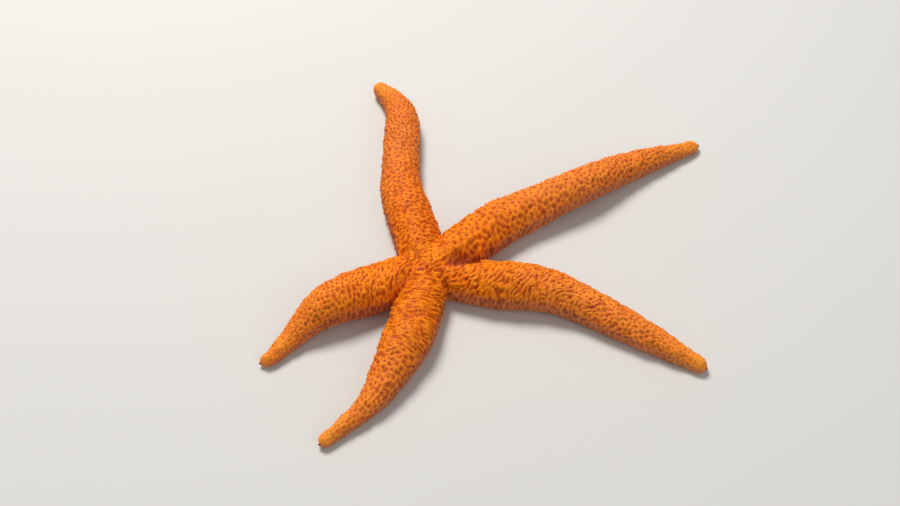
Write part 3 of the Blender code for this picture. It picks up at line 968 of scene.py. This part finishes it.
def gill_material():
    """Gill tufts: thin wet skin bags full of fluid, dark red at the root and paler at the end.

    Near the arms' tips they are paler all over.
    """
    made, add, shade, _, height, tip = new_material("gill_skin", "height", "tip")
    stops = [(0.0, "#A84206"), (0.6, "#BC520A"), (1.0, "#D06A14")]
    along = add("ValToRGB", stops=stops, Fac=height)
    paler = add("MapRange", Value=tip, _4=0.6)
    colour = add("Mix", 2, data_type="RGBA", _0=paler, _6=along, _7="#EC8420")
    shade(Base_Color=colour, Roughness=0.55, Specular_IOR_Level=0.04)
    return made


def tube_foot_material():
    """Tube feet: wet muscular tubes, pale and a little see-through, with a darker sucker rim."""
    made, add, shade, _, height = new_material("tube_foot_skin", "height")
    stops = [(0.0, "#E8A060"), (0.7, "#F0C898"), (0.88, "#E8B27C"), (1.0, "#D98E58")]
    shade(Base_Color=add("ValToRGB", stops=stops, Fac=height), Roughness=0.3)
    shade(Subsurface_Weight=0.25, Subsurface_Radius=mm((1.2, 0.6, 0.3)), Subsurface_Scale=1.0)
    return made


def mouth_material():
    """Mouth membrane: soft wet skin, pale at the lips and dark red down the gullet."""
    made, add, shade, place, height = new_material("mouth_skin", "height")
    pores = add("TexNoise", "Fac", Vector=place, Scale=PORES, Roughness=0.6)
    stops = [(0.0, "#5E1A10"), (0.45, "#C8643A"), (0.8, "#EEA468"), (1.0, "#E8904C")]
    bump = add("Bump", Strength=0.3, Distance=0.2 * MM, Height=pores)
    shade(Base_Color=add("ValToRGB", stops=stops, Fac=height), Roughness=0.3, Normal=bump)
    return made


def madreporite_material():
    """Sieve plate: porous calcite, dull purple-pink, darker down its grooves."""
    made, add, shade, place, groove = new_material("porous_calcite", "groove")
    grain = add("TexNoise", "Fac", Vector=place, Scale=PLATE_GRAIN, Roughness=0.6)
    depth = add("Math", operation="MULTIPLY_ADD", _0=grain, _1=0.2, _2=groove)
    stops = [(0.1, "#E4744A"), (0.6, "#B04428"), (1.0, "#701C14")]
    colour = add("ValToRGB", stops=stops, Fac=depth)
    shade(Base_Color=colour, Roughness=0.6, Specular_IOR_Level=0.10)
    return made


def eyespot_material():
    """Eyespots: a cushion of red pigment cups under clear wet skin; the cups are 0.1 mm apart."""
    made, add, shade, place = new_material("pigment_cups")
    cups = add("TexVoronoi", "Distance", Vector=place, Scale=PIGMENT_CUPS)
    stops = [(0.0, "#4A0608"), (0.5, "#A01010"), (1.0, "#C83020")]
    shade(Base_Color=add("ValToRGB", stops=stops, Fac=cups), Roughness=0.2)
    return made


def board_material():
    """Studio floor: matt painted board, so smooth that it shows no texture."""
    made, _, shade, _ = new_material("matt_board")
    shade(Base_Color="#D6D2CB", Roughness=0.9)
    return made


# --- Coat ---


def straight_paths(roots, lean, lengths, rings):
    """Straight paths: root + t length lean, for t from 0 to 1."""
    t = np.linspace(0.0, 1.0, rings)[None, :, None]
    return roots[:, None] + t * (lean * lengths[:, None])[:, None]


def marks_at(numbers):
    """The skin's marks at some points of its grids."""
    return {mark: values[numbers] for mark, values in skin["marks"].items()}


def spinelets(arm, rng):
    """Blunt little spines on the crests of the ridges, about one every millimetre.

    They lean a little towards the tip and at random, and are smaller at the tips and underneath.
    """
    ridge = (skin["arm"] == arm.index) & (skin["edge"] < SPINELETS_WITHIN) & ~skin["bare"]
    ridge = np.flatnonzero(ridge)
    numbers = ridge[one_per_cell(skin["points"][ridge], SPINELET_SPACING, rng)]
    places, normals, ahead = (skin[key][numbers] for key in ("points", "normals", "ahead"))
    marks = marks_at(numbers)
    lean = unit(normals + 0.25 * ahead + 0.15 * rng.normal(size=normals.shape))
    size = rng.uniform(0.8, 1.15, len(numbers)) * (1.0 - 0.30 * marks["tip"])
    size = size * (1.0 - 0.2 * smoothstep(-marks["level"], 0.1, 0.8))
    paths = straight_paths(places - 0.10 * MM * normals, lean, SPINELET_HEIGHT * size, 3)
    widths, profile = SPINELET_RADIUS * size, (1.0, 0.88, 0.6)
    return fingers(arm.name + "_spinelets", paths, widths, profile, 6, skin["map"][numbers], marks)


def gill_tufts(arm, rng):
    """Soft finger-like gills, two to each pit, which stay below the crests of the ridges."""
    numbers = np.repeat(skin["pit_floors"][arm.name], 2)
    places, normals = skin["points"][numbers], skin["normals"][numbers]
    aside = rng.normal(size=normals.shape)
    aside = unit(aside - (aside * normals).sum(1)[:, None] * normals)
    size = rng.uniform(0.7, 1.1, len(numbers))
    roots = places + 0.16 * MM * aside - 0.05 * MM * normals
    paths = straight_paths(roots, unit(normals + 0.45 * aside), GILL_HEIGHT * size, 3)
    widths, at = GILL_RADIUS * size, skin["map"][numbers]
    return fingers(arm.name + "_gills", paths, widths, (0.8, 1.0, 0.75), 5, at, marks_at(numbers))


def under_fingers(name, paths, widths, profile, sides, arm, s, around):
    """Fingers that face down, without pits and shade, mapped so far round the arm at s."""
    marks = {"pit": 0 * s, "tip": tip_share(arm.length - s), "level": -np.ones_like(s), "shade": 0 * s}
    return fingers(name, paths, widths, profile, sides, map_at(arm, s, around), marks)


def tube_feet(arm, rng):
    """Two rows of tube feet in the furrow, each a bent tube with a sucker on the floor.

    A tube's path is (1 - t)^2 root + 2 t (1 - t) belly + t^2 end.
    """
    s = np.arange(HOLLOW_RADIUS + 0.8 * MM, arm.length - 2.0 * MM, TUBE_FOOT_SPACING)
    side = np.repeat([1.0, -1.0], len(s))
    s = np.concatenate([s, s + TUBE_FOOT_SPACING / 2])
    lip = lip_at(arm, s, arm.half_at(s))
    size = np.clip(lip / FULL_LIP, 0.35, 1.0)
    floor = SUCKER_LEVEL * size - arm.lift_at(s)
    across_root = side * 0.42 * lip
    up_root = bottom_up(arm, s, across_root) + 0.2 * MM
    along_end = s + rng.normal(size=len(s)).clip(-1.5, 1.5) * 0.4 * MM
    across_end = side * lip * rng.uniform(0.45, 1.05, len(s))
    root = arm.place(s, across_root, up_root)
    belly = arm.place(s, across_root + side * 0.25 * lip, (up_root + floor) / 2)
    end = arm.place(along_end, across_end, floor)
    end[:, 2] = SUCKER_LEVEL * size
    t = np.linspace(0.0, 1.0, 7)[None, :, None]
    paths = (1 - t) ** 2 * root[:, None] + 2 * t * (1 - t) * belly[:, None] + t**2 * end[:, None]
    paths[:, -2] = paths[:, -1] + np.array([0.0, 0.0, 0.14 * MM])
    widths, profile = TUBE_FOOT_RADIUS * size, (0.85, 1.0, 0.92, 0.86, 0.80, 1.25, 1.35)
    around = 1.5 - side * 1.5 / (UNDER_COLUMNS - 1)
    return under_fingers(arm.name + "_tube_feet", paths, widths, profile, 8, arm, s, around)


def furrow_spines(arm, rng):
    """Two rows of blunt spines along each lip of the furrow, the inner ones folded over it."""
    s = np.arange(HOLLOW_RADIUS + 1.6 * MM, arm.length - 1.0 * MM, FURROW_SPINE_SPACING)
    side = np.repeat([1.0, -1.0, 1.0, -1.0], len(s))
    outer = np.repeat([0.0, 0.0, 1.0, 1.0], len(s))
    s = np.tile(s, 4) + 0.5 * FURROW_SPINE_SPACING * outer
    lip = lip_at(arm, s, arm.half_at(s))
    size = np.clip(lip / FULL_LIP, 0.4, 1.0) * rng.uniform(0.85, 1.1, len(s))
    across = side * (lip + (0.15 + 0.75 * outer) * MM * size)
    up = np.maximum(bottom_up(arm, s, across), COAT) + 0.12 * MM
    root = arm.place(s, across, up)
    inward = unit(arm.place(s, across - side * MM, up) - root)
    lean = unit(inward * (0.9 - 0.5 * outer)[:, None] - [0.0, 0.0, 1.0] * (0.35 + 0.15 * outer)[:, None])
    paths = straight_paths(root, lean, FURROW_SPINE_LENGTH * size, 3)
    paths[..., 2] = np.maximum(paths[..., 2], 0.28 * MM)
    widths, profile = FURROW_SPINE_RADIUS * size, (0.9, 1.0, 0.8)
    around = 1.5 - side * (3.2 + outer) / (UNDER_COLUMNS - 1)
    return under_fingers(arm.name + "_furrow_spines", paths, widths, profile, 6, arm, s, around)


# --- Mouth, sieve plate and eyespots ---


def mouth_membrane():
    """The puckered skin round the mouth: a curve turned once, pressed in by 20 folds.

    The curve runs from the bottom of the gullet down to the lip, out to the rim and back above.
    """
    stations = [0.0, 0.18, 0.36, 0.52, 0.70, 0.86, 1.0]
    radii = np.array([0.0, 0.5, 0.8, 1.7, 3.0, 3.7, 0.0]) * MM
    heights = np.array([3.3, 3.1, 2.1, 1.2, 1.7, 2.7, 3.6]) * MM

    def place(t, v):
        """The curve's radius and height at v, turned to t, with the folds in a bell round the lip."""
        lip = bell(v - 0.5, 0.16)
        fold = 0.5 + 0.5 * np.cos(20 * t + 1.5 * np.sin(3 * t))
        radius = np.interp(v, stations, radii) * (1.0 - 0.10 * lip * fold + 0.04 * lip * np.cos(5 * t))
        up = smooth_through(stations, heights, v) + 0.30 * MM * lip * fold
        return np.stack([CENTRE[0] + radius * np.cos(t), CENTRE[1] + radius * np.sin(t), up], -1)

    return turned_piece("mouth_membrane", place, 34, 160, height=lambda t, v: v)


def mouth_spines(rng):
    """Five jaws between the arms, each with a fan of blunt spines that point at the mouth."""
    jaws = np.array([arm.heading + arm.half_gaps[0] for arm in arms])
    fan = np.linspace(-1.0, 1.0, 7)
    turn = (jaws[:, None] + 0.42 * fan).ravel()
    aim = (jaws[:, None] + math.pi + 0.35 * fan).ravel()
    count = len(turn)
    away = JAW_REACH + 0.35 * MM * np.tile(fan**2, len(jaws))
    up = 1.35 * MM + 0.25 * MM * rng.uniform(size=count)
    roots = np.stack([CENTRE[0] + away * np.cos(turn), CENTRE[1] + away * np.sin(turn), up], -1)
    lean = unit(np.stack([np.cos(aim), np.sin(aim), np.full(count, -0.28)], -1))
    paths = straight_paths(roots, lean, JAW_SPINE_LENGTH * rng.uniform(0.85, 1.1, count), 4)
    widths, profile, s = np.full(count, MM), (0.34, 0.36, 0.31, 0.22), np.full(count, JAW_REACH)
    return under_fingers("mouth_spines", paths, widths, profile, 8, arms[0], s, 1.0 + turn / 100)


def sieve_plate():
    """The madreporite: a low dome with winding grooves that run out from its middle.

    A groove is sin(13 t + 5 r + ...), so that grooves bend as they run, and fork half way out.
    """
    centre = PLATE_PLACE - [0.0, 0.0, 0.75 * MM]

    def groove(t, v):
        """How deep in a groove a place is, from 0 to 1, and 0 on the lower half."""
        r = np.sin(math.pi * v)
        wander = 2.2 * np.sin(2 * t + 4 * r) + 1.3 * np.sin(5 * t - 3 * r)
        inner, outer = np.sin(9 * t + 3 * r + wander), np.sin(18 * t + 5 * r + 2 * wander)
        share = smoothstep(r, 0.45, 0.7)
        cut = 0.5 + 0.5 * (inner * (1 - share) + outer * share)
        return cut**1.5 * smoothstep(r, 0.05, 0.25) * np.where(v > 0.5, 1.0, 0.0)

    def place(t, v):
        """A ball whose rise, to the power 0.7, makes a flatter top, less the grooves."""
        out, rise = np.sin(math.pi * v), -np.cos(math.pi * v)
        wobble = 1.0 + 0.07 * np.sin(2 * t + 0.5) + 0.04 * np.sin(5 * t)
        radius = PLATE_RADIUS * out * wobble
        up = np.sign(rise) * np.abs(rise) ** 0.7 * PLATE_RISE - 0.17 * MM * groove(t, v)
        return centre + np.stack([radius * np.cos(t), radius * np.sin(t), up], -1)

    return turned_piece("madreporite_plate", place, 30, 108, groove=groove)


def eyespot(arm):
    """The red cushion at the arm's end, a ball drawn out a little towards the floor."""
    centre = arm.place(arm.length - COAT - 0.12 * MM, 0.0, EYESPOT_AT * arm.height_at(arm.length))

    def place(t, v):
        """A ball whose rise is 0.15 more below and 0.15 less above."""
        out, rise = np.sin(math.pi * v), -np.cos(math.pi * v) * (1.0 + 0.15 * np.cos(math.pi * v))
        shape = np.broadcast_arrays(out * np.cos(t), out * np.sin(t), rise)
        return centre + EYESPOT_RADIUS * np.stack(shape, -1)

    return turned_piece(arm.name + "_eyespot_cushion", place, 12, 20)


# --- The model ---

body_wall, gill_skin, tube_foot_skin = body_wall_material(), gill_material(), tube_foot_material()
pigment = eyespot_material()
skin = build_skin()
flesh = ["disc"] + [f"{arm.name}_{part}" for arm in arms for part in ("root", "middle", "tip")]
dress(add_mesh("skin", *skin["mesh"]), body_wall, "skin", *flesh)
coat_rng = np.random.default_rng(29)
for arm in arms:
    dress(spinelets(arm, coat_rng), body_wall, "skin")
    dress(gill_tufts(arm, coat_rng), gill_skin, "skin")
    dress(tube_feet(arm, coat_rng), tube_foot_skin, "skin")
    dress(furrow_spines(arm, coat_rng), body_wall, "skin")
    dress(eyespot(arm), pigment, "eyespot", arm.name + "_eyespot")
dress(mouth_membrane(), mouth_material(), "mouth", "mouth")
dress(mouth_spines(coat_rng), body_wall, "skin")
dress(sieve_plate(), madreporite_material(), "madreporite", "madreporite")


# --- Stage ---

FLOOR_HALF = 1.5
floor_corners = FLOOR_HALF * np.array([(-1, -1, 0), (1, -1, 0), (1, 1, 0), (-1, 1, 0)])
floor = add_mesh("floor", floor_corners, [np.array([(0, 1, 2, 3)])])
floor.data.materials.append(board_material())
floor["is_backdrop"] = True

# The camera looks along +Y and down by its elevation, at the disc, which stands a little below and
# to the left of the view's middle.
ELEVATION = math.radians(50)
FIELD = math.radians(45)
DISTANCE = 0.3627
DISC_LEFT_OF_MIDDLE = 7.05 * MM
DISC_BELOW_MIDDLE = 5.5 * MM
DISC_LEVEL = 6.0 * MM
ahead = np.array([0.0, math.cos(ELEVATION), -math.sin(ELEVATION)])
up = np.array([0.0, math.sin(ELEVATION), math.cos(ELEVATION)])
eye = np.array([*CENTRE, DISC_LEVEL]) - DISTANCE * ahead + DISC_BELOW_MIDDLE * up
eye[0] += DISC_LEFT_OF_MIDDLE
camera = add_object("camera", bpy.data.cameras.new("camera"))
camera.data.angle = FIELD
camera.data.clip_start = 0.01
camera.location = eye
camera.rotation_euler = (math.pi / 2 - ELEVATION, 0.0, 0.0)
bpy.context.scene.camera = camera


def area_light(name, place, size, power, colour):
    """A round soft box that looks at the origin."""
    light = bpy.data.lights.new(name, "AREA")
    light.shape, light.size, light.energy = "DISK", size, power
    light.color = linear(colour)[:3]
    made = add_object(name, light)
    made.location = place
    tilt = math.acos(place[2] / np.linalg.norm(place))
    made.rotation_euler = (tilt, 0.0, math.atan2(place[0], -place[1]))


bpy.context.scene.view_settings.view_transform = "Standard"
area_light("key", (-0.22, 0.42, 0.78), 0.35, 8.0, "#FFFFFF")
area_light("fill", (0.5, -0.5, 0.5), 0.6, 1.0, "#F4F8FF")
world = bpy.data.worlds.new("studio")
world.use_nodes = True
background = world.node_tree.nodes["Background"].inputs
background["Color"].default_value = linear("#E6ECF0")
background["Strength"].default_value = 0.38
bpy.context.scene.world = world

boxes = {"cad": CAD_BOX, "visual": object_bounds()}
{k: [[float(c) for c in corner] for corner in v] for k, v in boxes.items()}
